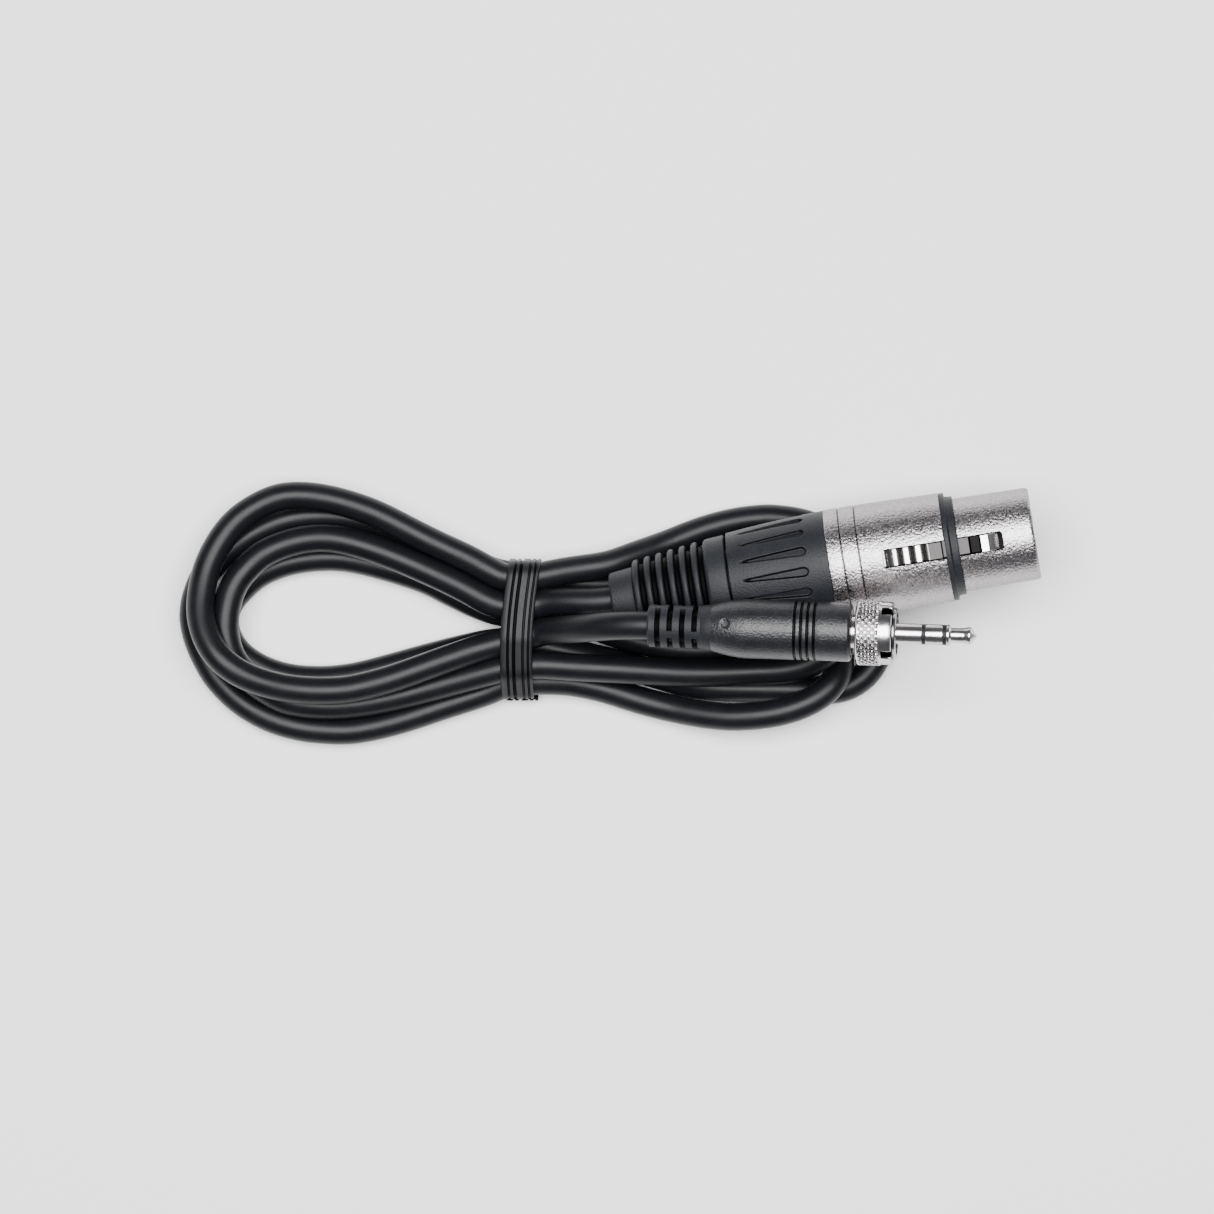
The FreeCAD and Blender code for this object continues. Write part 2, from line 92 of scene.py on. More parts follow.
# The points each lobe passes, in winding order, outside the tie
LEFT_LOBES = {
    "inner_high": [
        (-24, 4.6, 7.5), (-31, 7.6, 6.7), (-40, 11.0, 6.3), (-48, 12.9, 6.2), (-55, 12.0, 6.4),
        (-60.7, 9.3, 6.7), (-64.6, 5.1, 6.9), (-66.0, 0, 7.0), (-66.0, -4.2, 6.9), (-64.5, -8.4, 6.6),
        (-61.0, -11.7, 6.0), (-56.4, -14.7, 5.2), (-50, -15.9, 4.8), (-43, -15.7, 4.8), (-35, -14.2, 5.0),
        (-28, -12.3, 5.7), (-21, -10.3, 6.6)],
    "outer_low": [
        (-24, 8.6, 2.8), (-31, 11.2, 2.4), (-41, 15.7, 2.4), (-50, 16.8, 2.4), (-58, 15.3, 2.4),
        (-65.3, 11.1, 2.4), (-70.2, 5.8, 2.4), (-71.9, 0.6, 2.4), (-71.2, -4.4, 2.4), (-68.5, -10.0, 2.4),
        (-63.7, -15.2, 2.4), (-57.6, -18.6, 2.4), (-51.1, -20.1, 2.4), (-45.3, -20.4, 2.4),
        (-37.3, -18.8, 2.4), (-28.8, -16.0, 2.4), (-21, -13.6, 2.8)],
    "inner_low": [
        (-22, 1.0, 2.8), (-26.4, 3.1, 2.5), (-31, 5.6, 2.4), (-40.6, 8.6, 2.4), (-48, 9.7, 2.4),
        (-56, 8.6, 2.4), (-61.8, 5.7, 2.4), (-65.7, 1.6, 2.4), (-66.5, -2.4, 2.4), (-64.7, -6.7, 2.4),
        (-60.8, -9.7, 2.4), (-55.7, -11.5, 2.4), (-50, -11.9, 2.4), (-44.6, -11.4, 2.4),
        (-39.4, -10.1, 2.4), (-29.5, -7.3, 2.5), (-21, -5.3, 3.0)],
    "outer_high": [
        (-24, 8.7, 7.7), (-31, 12.0, 7.3), (-41, 17.2, 7.0), (-49, 19.6, 6.8), (-53.3, 20.1, 6.7),
        (-57.4, 19.6, 6.7), (-62.5, 16.8, 6.8), (-65.6, 13.5, 6.9), (-68.2, 8.7, 7.3), (-69.2, 4.2, 8.0),
        (-69.4, 0, 8.9), (-68.4, -4.0, 10.0), (-66.2, -7.6, 11.1), (-62.9, -10.3, 11.3), (-59, -12.0, 10.6),
        (-54.6, -13.1, 9.7), (-50, -13.5, 9.1), (-45.2, -13.4, 9.0), (-38, -11.8, 8.9), (-30.6, -9.3, 8.8),
        (-22, -6.4, 8.4)],
}
RIGHT_LOBES = {
    "inner": [
        (-6, -9.4, 7.2), (2, -9.8, 7.2), (8.3, -10.2, 7.2), (13, -10.5, 7.2), (18.6, -10.5, 7.2),
        (24.6, -10.2, 7.2), (29.4, -10.1, 7.3), (33.8, -9.4, 7.8), (37.6, -7.4, 8.8), (40.2, -3.9, 8.6),
        (41.0, 0.2, 6.6), (40.7, 3.8, 4.2), (38.0, 7.6, 2.6), (33.6, 10.0, 2.4), (27, 11.3, 2.4),
        (20, 10.3, 2.4), (14, 8.4, 2.4), (7, 6.1, 2.4), (0, 5.0, 2.4), (-7, 5.4, 2.7)],
    "middle": [
        (-6, -12.0, 2.7), (-0.6, -13.1, 2.4), (4.8, -14.9, 2.4), (10.2, -16.3, 2.8), (15.4, -17.3, 4.4),
        (21.6, -17.9, 6.0), (27.0, -17.5, 6.9), (31.6, -16.4, 7.2), (35.6, -14.5, 7.3), (38.5, -11.7, 7.0),
        (39.7, -8.2, 5.3), (39.1, -4.4, 2.8), (37.0, -0.8, 2.4), (33.2, 0.2, 2.4), (28.0, -2.4, 2.4),
        (21, -5.9, 2.4), (14, -6.6, 2.4), (7, -5.7, 2.4), (0, -3.7, 2.4), (-7, -0.8, 2.7)],
    "outer": [
        (-6, -7.0, 2.8), (2, -8.7, 2.8), (8.3, -10.6, 2.5), (13, -12.0, 2.4), (18.4, -12.8, 2.4),
        (24.6, -12.9, 2.4), (30.6, -12.9, 2.4), (35.9, -13.2, 2.4), (40.9, -12.9, 2.4), (44.9, -10.2, 2.4),
        (47.1, -5.9, 2.4), (47.5, -1.0, 2.4), (46.4, 4.2, 2.4), (43.6, 9.0, 2.4), (39.6, 13.0, 2.4),
        (34.2, 15.5, 2.4), (28.5, 16.3, 2.4), (21.4, 15.5, 2.4), (15, 13.6, 2.4), (9.7, 11.4, 3.0),
        (4.2, 9.5, 5.2), (0, 7.9, 6.4), (-6, 7.1, 7.0)],
}

# Each turn: into the tie, round a left lobe, back through the tie and round a right one
TURNS = [("c_top", "inner_high", "d_low", "inner"), ("b_top", "outer_low", "b_low", "middle"),
         ("d_top", "inner_low", "c_low", "outer"), ("a_top", "outer_high", "a_low", None)]
STEP = 4.2


def eased(keys):
    """Points along a smooth curve through the keys but its two ends, about a step apart."""
    p = np.array(keys, float)
    out = []
    for a, b, c, d in zip(p[:-3], p[1:-2], p[2:-1], p[3:]):
        count = max(1, round(float(np.linalg.norm(c - b)) / STEP))
        for k in range(count):
            t = k / count
            out.append(0.5 * (2 * b + (c - a) * t + (2 * a - 5 * b + 4 * c - d) * t * t
                              + (3 * b - 3 * c + d - a) * t ** 3))
    return out


def wound_route():
    """All the cable's points, and which of them stay where they are."""
    left_x, right_x = TIE_X - TIE_HALF, TIE_X + TIE_HALF
    keys = [tuple(p) for p in XLR_TAIL[::-1]]
    for slot_in, left, slot_out, right in TURNS:
        keys += [(right_x, *SLOTS[slot_in][1]), (left_x, *SLOTS[slot_in][0])]
        keys += LEFT_LOBES[left]
        keys += [(left_x, *SLOTS[slot_out][0]), (right_x, *SLOTS[slot_out][1])]
        keys += RIGHT_LOBES.get(right, PLUG_TAIL)
    points = [np.array(keys[0])] + eased(keys) + [np.array(p) for p in keys[-2:]]
    points = np.array(points)
    anchors = np.array([k for k in keys if left_x - 0.1 < k[0] < right_x + 0.1] + XLR_TAIL + PLUG_TAIL)
    nearest = np.linalg.norm(points[:, None] - anchors[None], axis=2).min(axis=1)
    return points, (nearest < 0.05) | (np.abs(points[:, 0] - TIE_X) < TIE_HALF + 0.1)


def segment_gaps(p):
    """Closest distance of every pair of runs, with where along each it is and its direction."""
    a, d = p[:-1], np.diff(p, axis=0)
    n = len(a)
    i, j = np.triu_indices(n, 4)
    u, v, w = d[i], d[j], a[i] - a[j]
    uu, uv, vv = (u * u).sum(1), (u * v).sum(1), (v * v).sum(1)
    uw, vw = (u * w).sum(1), (v * w).sum(1)
    s = np.clip((uv * vw - vv * uw) / np.maximum(uu * vv - uv * uv, 1e-9), 0, 1)
    t = np.clip((uv * s + vw) / vv, 0, 1)
    s = np.clip((uv * t - uw) / uu, 0, 1)
    apart = w + u * s[:, None] - v * t[:, None]
    return i, j, s, t, apart


def connector_radius(x):
    """The XLR connector's radius along its axis."""
    return np.interp(x, [0, 3.8, 4, 20, 21, 38, XLR_LENGTH], [4.7, 5.1, 6.3, 8.1, 8.3, 9.55, 9.55])


def push_apart(p, free, share_of_gap=0.35):
    """Moves runs of cable that lie in each other a little apart."""
    wide = 2 * CABLE_R + GAP
    i, j, s, t, apart = segment_gaps(p)
    gap = np.linalg.norm(apart, axis=1)
    near = gap < wide
    i, j, s, t, apart, gap = i[near], j[near], s[near], t[near], apart[near], gap[near]
    way = apart / np.maximum(gap, 1e-6)[:, None] * ((wide - gap) * share_of_gap)[:, None]
    move, count = np.zeros_like(p), np.full((len(p), 1), 1e-6)
    for sign, index, share in ((1, i, 1 - s), (1, i + 1, s), (-1, j, 1 - t), (-1, j + 1, t)):
        np.add.at(move, index, sign * way * share[:, None])
        np.add.at(count, index, share[:, None])
    return p + free * move / np.maximum(count, 0.6)


def push_off_connector(p, free, share_of_depth=0.6):
    """Moves points of the cable that lie in the XLR connector a little outwards."""
    axis = np.array(XLR.to_3x3() @ Vector((1, 0, 0)))
    along = (p - XLR_START) @ axis
    out = p - XLR_START - along[:, None] * axis
    far = np.linalg.norm(out, axis=1)
    need = connector_radius(along) + CABLE_R + 0.1
    deep = np.where((along > 0) & (along < XLR_LENGTH) & (far < need), need - far, 0)
    return p + free * (out / far[:, None]) * (deep * share_of_depth)[:, None]


def settle(points, held, rounds=300, sink=0.006, spring=0.04, weak_spring=0.002, even=0.22):
    """Lets the runs down on each other and on the table, near their route.

    In each round a run sinks a little, is drawn back over its route by the spring's share, and evens out
    its shift along the cable. The last rounds have a weak spring and no sinking.
    """
    rest, p = points.copy(), points.copy()
    free = (~held).astype(float)[:, None]
    for turn in range(rounds):
        closing = turn > rounds * 0.7
        p = push_off_connector(push_apart(p, free), free)
        p[:, 2:] -= free * (0 if closing else sink)
        shift = p - rest
        shift[:, :2] *= 1 - (weak_spring if closing else spring)
        shift[1:-1] += free[1:-1] * even * (shift[:-2] + shift[2:] - 2 * shift[1:-1]) / 2
        p = rest + shift
        p[:, 2] = np.where(held, p[:, 2], np.maximum(p[:, 2], CABLE_R))
    return p


def make_cable():
    """The whole cable, from inside the XLR connector to inside the plug."""
    points, held = wound_route()
    ends = [on_axis(XLR, x) for x in (24, 17, 10)], [on_axis(PLUG, x) for x in (7, 12, 17.5)]
    points = np.vstack([ends[0], settle(points, held), ends[1]])
    curve = bpy.data.curves.new("lead_cable", "CURVE")
    curve.dimensions = "3D"
    spline = curve.splines.new("NURBS")
    spline.points.add(len(points) - 1)
    for point, place in zip(spline.points, points):
        point.co = (*(place * MM), 1)
    spline.order_u = 3
    spline.use_endpoint_u = True
    spline.resolution_u = 6
    curve.bevel_depth = CABLE_R * MM
    curve.bevel_resolution = 10
    curve.use_fill_caps = True
    cable = bpy.data.objects.new("lead_cable", curve)
    bpy.context.scene.collection.objects.link(cable)
    cable.data.materials.append(MATERIALS["cable_jacket"])
    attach(cable, "lead")
    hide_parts("cable_hank", "cable_xlr_tail", "cable_plug_tail",
                "cable_end_in_xlr", "cable_end_in_plug")
    return cable, points


# ---------------------------------------------------------------------------
# Materials: every one mottled in colour and roughness, with a fine grain
# ---------------------------------------------------------------------------
def material(name, light, dark, rough, metal=0.0, grain=(2500, 0.1, 0.04), patch=400, specular=0.5):
    """Colour and roughness vary in soft patches; grain is (cells per metre, strength, depth in mm).

    A mesh attribute paints shade into its grooves and onto some flats, darkening the colour and dimming the
    sheen there, metal the most.
    """
    # Painted shade: where the mask is full, the colour drops to this share of the dark colour and the sheen
    # to this share of the usual
    painted_shade_share = 0.006 if metal else 0.12
    painted_shade_gloss = 0.12
    mat = bpy.data.materials.new(name)
    mat.use_nodes = True
    nodes, links = mat.node_tree.nodes, mat.node_tree.links
    surface = nodes["Principled BSDF"]
    where = nodes.new("ShaderNodeTexCoord").outputs["Object"]

    def noise(scale, detail, source):
        made = nodes.new("ShaderNodeTexNoise")
        made.inputs["Scale"].default_value = scale
        made.inputs["Detail"].default_value = detail
        links.new(source, made.inputs["Vector"])
        return made.outputs["Fac"]

    def ramp(source, low, high):
        made = nodes.new("ShaderNodeMapRange")
        made.inputs["From Min"].default_value = 0.3
        made.inputs["From Max"].default_value = 0.7
        made.inputs["To Min"].default_value = low
        made.inputs["To Max"].default_value = high
        links.new(source, made.inputs["Value"])
        return made.outputs["Result"]

    soft = noise(patch, 4, where)
    fine = noise(grain[0], 3, where)
    both = nodes.new("ShaderNodeMix")
    both.data_type = "FLOAT"
    both.inputs["Factor"].default_value = 0.5
    links.new(soft, both.inputs[2])
    links.new(fine, both.inputs[3])
    colour = nodes.new("ShaderNodeMix")
    colour.data_type = "RGBA"
    colour.inputs[6].default_value = (*dark, 1)
    colour.inputs[7].default_value = (*light, 1)
    links.new(ramp(both.outputs[0], 0, 1), colour.inputs["Factor"])
    # The painted shade mask stored on the mesh, which darkens colour and sheen
    deep = nodes.new("ShaderNodeAttribute")
    deep.attribute_name = "recess"
    shaded = nodes.new("ShaderNodeMix")
    shaded.data_type = "RGBA"
    shaded.inputs[7].default_value = tuple(c * painted_shade_share for c in dark) + (1,)
    links.new(deep.outputs["Fac"], shaded.inputs["Factor"])
    links.new(colour.outputs[2], shaded.inputs[6])
    links.new(shaded.outputs[2], surface.inputs["Base Color"])
    links.new(ramp(both.outputs[0], rough[0], rough[1]), surface.inputs["Roughness"])
    bump = nodes.new("ShaderNodeBump")
    bump.inputs["Strength"].default_value = grain[1]
    bump.inputs["Distance"].default_value = grain[2] * MM
    links.new(fine, bump.inputs["Height"])
    links.new(bump.outputs["Normal"], surface.inputs["Normal"])
    surface.inputs["Metallic"].default_value = metal
    if metal:
        surface.inputs["Specular Tint"].default_value = (0.62, 0.61, 0.61, 1)
    gloss = nodes.new("ShaderNodeMapRange")
    gloss.inputs["To Min"].default_value = specular
    gloss.inputs["To Max"].default_value = specular * painted_shade_gloss
    links.new(deep.outputs["Fac"], gloss.inputs["Value"])
    links.new(gloss.outputs["Result"], surface.inputs["Specular IOR Level"])
    return mat


# Per slot: light colour, dark colour, roughness range, and what differs from the usual
LOOKS = {
    "cable_jacket": ((0.0055, 0.0062, 0.0078), (0.0030, 0.0034, 0.0043), (0.34, 0.44),
                     {"grain": (3000, 0.3, 0.03), "patch": 250, "specular": 0.21}),
    "tie_plastic": ((0.0085, 0.0092, 0.0108), (0.004, 0.0044, 0.0052), (0.42, 0.54),
                    {"grain": (3500, 0.6, 0.04), "specular": 0.24}),
    "boot_rubber": ((0.010, 0.0112, 0.0145), (0.0055, 0.0063, 0.0083), (0.48, 0.60),
                    {"grain": (3600, 0.9, 0.07), "specular": 0.27}),
    "black_plastic": ((0.0095, 0.0107, 0.014), (0.0052, 0.006, 0.008), (0.44, 0.56),
                      {"grain": (3600, 1.0, 0.07), "specular": 0.27}),
    "barrel_plastic": ((0.008, 0.0088, 0.0115), (0.0042, 0.0046, 0.0062), (0.30, 0.42),
                       {"grain": (3200, 1.0, 0.08), "specular": 0.52}),
    "white_plastic": ((0.80, 0.80, 0.78), (0.70, 0.70, 0.68), (0.4, 0.5), {}),
    "satin_nickel": ((0.54, 0.515, 0.53), (0.27, 0.25, 0.25), (0.20, 0.34),
                     {"metal": 1.0, "grain": (2500, 1.0, 0.13), "patch": 2600}),
    "bright_nickel": ((0.72, 0.70, 0.69), (0.56, 0.54, 0.54), (0.15, 0.24),
                      {"metal": 1.0, "grain": (4500, 0.3, 0.02)}),
    "spring_steel": ((0.55, 0.55, 0.56), (0.42, 0.42, 0.43), (0.25, 0.35), {"metal": 1.0}),
    "contact_metal": ((0.83, 0.68, 0.38), (0.66, 0.50, 0.25), (0.2, 0.32), {"metal": 1.0}),
    "wire_bare": ((0.80, 0.46, 0.30), (0.60, 0.32, 0.2), (0.3, 0.4), {"metal": 1.0}),
    "wire_red": ((0.55, 0.03, 0.02), (0.40, 0.02, 0.015), (0.35, 0.45), {}),
    "wire_white": ((0.82, 0.82, 0.80), (0.7, 0.7, 0.68), (0.35, 0.45), {}),
}
MATERIALS = {slot: material(slot, light, dark, rough, **extra)
             for slot, (light, dark, rough, extra) in LOOKS.items()}


# ---------------------------------------------------------------------------
# Building in a connector's own frame, in millimetres along +X
# ---------------------------------------------------------------------------
def rounded(points, radius, steps=3):
    """A closed outline with its corners eased."""
    out = []
    for i, here in enumerate(points):
        here = Vector(here)
        back, ahead = Vector(points[i - 1]) - here, Vector(points[(i + 1) % len(points)]) - here
        reach = min(radius, back.length * 0.4, ahead.length * 0.4)
        start, end = here + back.normalized() * reach, here + ahead.normalized() * reach
        for k in range(steps + 1):
            t = k / steps
            out.append(tuple(start * (1 - t) ** 2 + here * 2 * t * (1 - t) + end * t * t))
    return out


def finer(points, low, high, step):
    """The same outline with more points where its runs lie between low and high."""
    out = []
    for (x, r), (next_x, next_r) in zip(points, points[1:] + points[:1]):
        out.append((x, r))
        if low - 0.01 <= min(x, next_x) and max(x, next_x) <= high + 0.01:
            count = int(abs(next_x - x) / step)
            shares = [k / count for k in range(1, count)]
            out += [(x + (next_x - x) * t, r + (next_r - r) * t) for t in shares]
    return out


def add_piece(name, verts, faces, slot, body="lead", stands_for=(), place=None, edge_angle=35, recess=None):
    """A mesh piece from points in millimetres; the painted-shade function of (x, r, z) gives each point's
    share of painted shade.
    """
    mesh = bpy.data.meshes.new(name)
    mesh.from_pydata([tuple(v) for v in verts], [], faces)
    # Painted shade: each point's share is stored on the mesh for the materials to darken
    if recess is not None:
        x, y, z = np.array(verts, float).T
        layer = mesh.attributes.new("recess", "FLOAT", "POINT")
        layer.data.foreach_set("value", np.clip(recess(x, np.hypot(y, z), z), 0, 1).astype(np.float32))
    if place is not None:
        mesh.transform(place)
    mesh.transform(Matrix.Scale(MM, 4))
    work = bmesh.new()
    work.from_mesh(mesh)
    bmesh.ops.remove_doubles(work, verts=work.verts, dist=1e-7)
    bmesh.ops.recalc_face_normals(work, faces=work.faces)
    work.to_mesh(mesh)
    work.free()
    mesh.shade_smooth()
    mesh.set_sharp_from_angle(angle=math.radians(edge_angle))
    piece = bpy.data.objects.new(name, mesh)
    bpy.context.scene.collection.objects.link(piece)
    mesh.materials.append(MATERIALS[slot])
    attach(piece, body)
    if stands_for:
        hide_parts(*stands_for)
    return piece


def turned(name, outline, slot, place, steps=128, relief=None, **options):
    """A ring or solid of revolution; relief(x, r, angles) gives the radii where it isn't round."""
    angles = np.arange(steps) * 2 * math.pi / steps
    rings = []
    for x, r in outline:
        radii = np.full(steps, float(r)) if relief is None else relief(x, r, angles)
        across, up = -radii * np.sin(angles), radii * np.cos(angles)
        rings.append(np.stack([np.full(steps, float(x)), across, up], axis=1))
    verts = np.concatenate(rings)
    faces = []
    for i in range(len(rings)):
        a, b = i * steps, ((i + 1) % len(rings)) * steps
        faces += [(a + k, a + (k + 1) % steps, b + (k + 1) % steps, b + k) for k in range(steps)]
    return add_piece(name, verts, faces, slot, place=place, **options)


def extruded(name, side, half, slot, place, bevel=0.12, **options):
    """A side profile in XZ carried across Y, with its edges broken."""
    count = len(side)
    verts = [(x, y, z) for y in (-half, half) for x, z in side]
    faces = [tuple(range(count))[::-1], tuple(range(count, 2 * count))]
    faces += [(i, (i + 1) % count, count + (i + 1) % count, count + i) for i in range(count)]
    piece = add_piece(name, verts, faces, slot, place=place, **options)
    soften(piece, bevel)
    return piece


def soften(piece, width):
    """Breaks a piece's sharp edges."""
    edge = piece.modifiers.new("edges", "BEVEL")
    edge.width = width * MM
    edge.segments = 2
    edge.limit_method = "ANGLE"
    edge.angle_limit = math.radians(35)
    edge.harden_normals = True


def smoothstep(t):
    t = np.clip(t, 0, 1)
    return t * t * (3 - 2 * t)


def off_centre(angles, count, first=0.0):
    """How far each angle is from the nearest of count evenly spaced places."""
    pitch = 2 * math.pi / count
    return np.abs((angles - first + pitch / 2) % pitch - pitch / 2)


def between(x, low, high):
    return (x > low) & (x < high)


def cut(piece, name, x, y, z):
    """Takes a box, in the XLR connector's frame, out of a piece."""
    work = bmesh.new()
    bmesh.ops.create_cube(work, size=1)
    size = Vector((x[1] - x[0], y[1] - y[0], z[1] - z[0]))
    middle = Vector((x[0] + x[1], y[0] + y[1], z[0] + z[1])) / 2
    bmesh.ops.scale(work, vec=size, verts=work.verts)
    bmesh.ops.translate(work, vec=middle, verts=work.verts)
    upright = [e for e in work.edges if abs(e.verts[0].co.z - e.verts[1].co.z) > 1]
    bmesh.ops.bevel(work, geom=upright, offset=0.25, segments=3, affect="EDGES")
    mesh = bpy.data.meshes.new(name)
    work.to_mesh(mesh)
    work.free()
    mesh.transform(Matrix.Scale(MM, 4) @ XLR)
    cutter = bpy.data.objects.new(name, mesh)
    bpy.context.scene.collection.objects.link(cutter)
    boolean = piece.modifiers.new(name, "BOOLEAN")
    boolean.operation = "DIFFERENCE"
    boolean.solver = "EXACT"
    boolean.object = cutter
    apply_modifiers(piece)
    bpy.data.objects.remove(cutter)


def apply_modifiers(piece):
    graph = bpy.context.evaluated_depsgraph_get()
    mesh = bpy.data.meshes.new_from_object(piece.evaluated_get(graph))
    piece.modifiers.clear()
    piece.data = mesh


# ---------------------------------------------------------------------------
# The XLR connector
# ---------------------------------------------------------------------------
FLUTES = 16


def xlr_boot():
    # Painted shade between the ribs, deeper down each gap
    def rib_gap_shade(x, r, z):
        crest = 5.95 + 0.27 * (x - 4.2) / 2.07
        return between(x, 4.1, 16.72) * (crest - r) / 0.5

    outline = [(0, 4.3), (0.3, 4.6), (3.8, 5.0)]
    for i in range(6):
        x, core, crest = 4.2 + 2.07 * i, 5.1 + 0.22 * i, 6.1 + 0.27 * i
        outline += [(x, core), (x + 0.08, crest - 0.35), (x + 0.35, crest), (x + 0.95, crest + 0.1),
                    (x + 1.2, crest - 0.2), (x + 1.28, core + 0.15)]
    outline += [(16.7, 6.4), (16.75, 7.3), (17.2, 7.75), (20.5, 8.0), (20.5, 5.6), (14.2, 5.6), (14.2, 2.5),
                (0, 2.5)]
    turned("boot_ribbed", rounded(outline, 0.4), "boot_rubber", XLR, stands_for=["xlr_boot"], steps=144,
           recess=rib_gap_shade)


def skirt_radius(t):
    """The gland nut's outside, t of the way along its skirt."""
    return 8.2 + 1.94 * t - 0.74 * t * t


def flutes(x, r, angles):
    """Shallow flat-bottomed grooves, pointed at the rear and round at the front."""
    start, round_from, end_half, depth = 22.6, 33.4, 0.9, 0.5
    if r < 8.2 or not start < x < round_from + end_half:
        return np.full(len(angles), float(r))
    half = 0.3 + 0.6 * (x - start) / (round_from - start)
    if x >= round_from:
        half = math.sqrt(max(end_half ** 2 - (x - round_from) ** 2, 0))
    inside = smoothstep((half - off_centre(angles, FLUTES) * r) / 0.3)
    return r - depth * smoothstep((x - start) / 2.2) * inside


def xlr_bushing():
    # Painted shade on the flutes' walls, most halfway down
    def flute_wall_shade(x, r, z):
        depth = (skirt_radius((x - 20.9) / 16.9) - r) / 0.5
        return between(x, 22.7, 34.4) * (r > 7.6) * 4 * depth * (1.05 - depth)

    skirt = [(20.9 + 16.9 * t, skirt_radius(t)) for t in np.linspace(0, 1, 120)]
    inside = [(37.8, 8.0), (43.6, 8.0), (43.6, 7.5), (37.8, 7.5), (22.0, 4.0), (22.0, 2.6), (14.3, 2.6),
              (14.3, 5.5)]
    outline = [(20.9, 5.5)] + skirt + inside
    turned("bushing_fluted", outline, "black_plastic", XLR, steps=FLUTES * 44, relief=flutes,
           stands_for=["xlr_bushing"], edge_angle=60, recess=flute_wall_shade)


def xlr_shell():
    outline = [(37.85, 8.05), (37.85, 9.5)]
    for x in (40.2, 43.0):
        outline += [(x, 9.5), (x + 0.05, 9.33), (x + 0.22, 9.33), (x + 0.27, 9.5)]
    outline += [(57.6, 9.3), (57.6, 7.75), (59.8, 7.75), (59.8, 7.95), (72.2, 7.87), (72.7, 7.6),
                (72.7, 7.1), (44.0, 7.1), (44.0, 8.05)]
    # Painted shade in the two grooves round the shell's rear
    shell = turned("shell_nickel", rounded(outline, 0.14), "satin_nickel", XLR, steps=192,
                   stands_for=["xlr_shell"],
                   recess=lambda x, r, z: between(x, 40.1, 43.4) * (r > 9) * (9.48 - r) / 0.2)
    cut(shell, "window", (46.9, 67.4), (-1.6, 1.6), (5, 12))
    cut(shell, "keyway", (62.0, 74.0), (-1.3, 1.3), (-9, -6))
    soften(shell, 0.1)


def xlr_ring():
    outline = [(57.62, 7.78), (57.62, 9.2), (58.4, 9.2), (58.55, 8.5), (59.78, 8.4), (59.78, 7.78)]
    turned("ring_black", rounded(outline, 0.12), "black_plastic", XLR, stands_for=["xlr_ring"])


def xlr_latch():
    side = [(44.4, 5.3), (66.6, 5.3), (66.6, 7.3), (64.9, 8.9), (63.6, 8.9), (63.4, 6.0), (61.8, 6.0),
            (61.6, 6.5), (57.0, 6.5), (57.0, 9.1), (54.8, 9.1)]
    for x in (53.6, 51.55, 49.5):
        side += [(x + 1.0, 9.1), (x + 0.82, 8.75), (x + 0.42, 8.15), (x + 0.02, 8.75), (x - 0.15, 9.1)]
    side += [(48.6, 9.1), (47.3, 8.3), (47.3, 6.5), (44.4, 6.5)]

    # Painted shade in the button's grooves and the notch, and painted dark reflection over the lever's
    # flats, front edge and rear end, which are the same nickel as the rest
    def shade(x, r, z):
        button_grooves = between(x, 49.2, 54.7) * (z > 7) * (9.0 - z) / 0.5
        notch = between(x, 61.7, 63.5) * between(z, 5.9, 6.1)
        flats_painted_dark = 0.96 * between(x, 54.7, 61.7)
        return button_grooves + notch + flats_painted_dark + 0.3 * between(x, 66.5, 66.7) + 0.45 * (x < 48.7)

    extruded("latch_lever", side, 1.45, "bright_nickel", XLR, body="latch", stands_for=["xlr_latch"],
             recess=shade)


# ---------------------------------------------------------------------------
# The locking plug
# ---------------------------------------------------------------------------
KNURLS = 28


def relief_slots(x, r, angles):
    """Two slots in each of four rows, every other row a quarter turn on."""
    for i in range(4):
        start = 1.3 + 2.1 * i
        if r > 3.2 and start < x < start + 0.95:
            first = math.radians(24 + 90 * (i % 2 == 0))
            gap = np.minimum(off_centre(angles, 2, first), 9) * r - 0.62
            return r - (r - 2.6) * smoothstep(gap / 0.16)
    return np.full(len(angles), float(r))


def plug_strain_relief():
    top = [(0, 3.3), (0.3, 3.6)]
    for i in range(4):
        start = 1.3 + 2.1 * i
        top += [(start + d, 3.6) for d in (-0.06, -0.002, 0.04, 0.91, 0.952, 1.01)]
    top += [(9.1, 3.6), (9.3, 3.75), (10.8, 3.9), (10.8, 3.4), (12.8, 3.4), (12.8, 2.45), (0, 2.45)]
    # Painted shade down in the slots
    turned("relief_slotted", top, "boot_rubber", PLUG, steps=180, relief=relief_slots,
           stands_for=["plug_strain_relief"],
           recess=lambda x, r, z: between(x, 1.2, 8.9) * (3.5 - r) / 0.5)


def dimple(x, r, angles):
    """A shallow round dent on top of the barrel's shoulder."""
    near = np.hypot(x - 13.4, -np.sin(angles) * r - 0.75)
    return r - 0.25 * smoothstep((0.95 - near) / 0.5) * (np.cos(angles) > 0) * (r > 4)


def plug_barrel():
    shoulder = [(10.8 + 6.0 * t, 5.0 - 1.05 * (1 - t) ** 1.7) for t in np.linspace(0, 1, 40)]
    outline = shoulder[:]
    for i in range(4):
        x = 24.8 + 1.1 * i
        outline += [(x, 5.0), (x + 0.05, 4.7), (x + 0.4, 4.7), (x + 0.45, 5.0)]
    outline += [(34.0, 5.0), (34.4, 4.6), (34.4, 3.9), (13.1, 3.9), (13.1, 3.45), (10.8, 3.45)]
    # Painted shade in the four grooves near the barrel's front
    turned("plug_handle", finer(rounded(outline, 0.12, 2), 16.7, 34.1, 0.8), "barrel_plastic", PLUG,
           steps=180, relief=dimple, stands_for=["plug_barrel"],
           recess=lambda x, r, z: between(x, 24.6, 28.7) * (4.95 - r) / 0.2)


